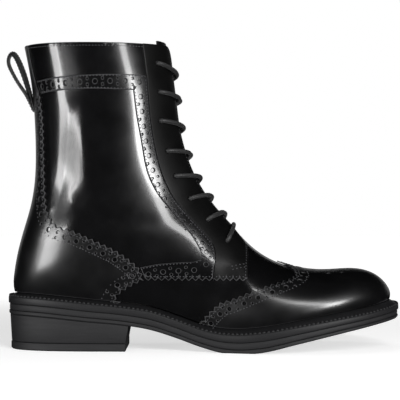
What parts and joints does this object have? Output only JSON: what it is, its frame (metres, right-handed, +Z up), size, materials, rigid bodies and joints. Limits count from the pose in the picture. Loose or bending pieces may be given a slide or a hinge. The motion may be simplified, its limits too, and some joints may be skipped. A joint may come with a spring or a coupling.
{
  "type": "lace-up brogue ankle boot",
  "caption": "Black polished leather lace-up ankle boot with a wing tip, punched bands, a low heel and a matte rubber sole.",
  "frame": {"origin": "on the floor under the middle of the heel, in the plane of the boot's long axis", "axes": "+X to the toe, +Y to the inner side of the foot, +Z up from the floor"},
  "size_m": [0.278, 0.0923, 0.2153],
  "materials": {
    "sole_rubber": "matte",
    "top_piece_rubber": "matte",
    "insole_leather": "matte",
    "upper_leather": "gloss",
    "overlay_leather": "gloss",
    "tongue_leather": "matte",
    "lace_cotton": "matte",
    "strap_leather": "gloss"
  },
  "bodies": {
    "root": {"welt": "sole_rubber", "midsole": "sole_rubber", "outsole": "sole_rubber", "heel_block": "sole_rubber", "heel_toplift": "top_piece_rubber", "insole": "insole_leather", "upper": "upper_leather", "toe_cap": "overlay_leather", "heel_counter": "overlay_leather", "band_outer": "overlay_leather", "band_inner": "overlay_leather", "eyestay_outer": "upper_leather", "eyestay_inner": "upper_leather", "tongue": "tongue_leather", "lace_crossing_1": "lace_cotton", "lace_crossing_2": "lace_cotton", "lace_crossing_3": "lace_cotton", "lace_crossing_4": "lace_cotton", "lace_crossing_5": "lace_cotton", "lace_crossing_6": "lace_cotton", "lace_crossing_7": "lace_cotton", "lace_bar": "lace_cotton", "pull_loop": "strap_leather"}
  },
  "joints": []
}
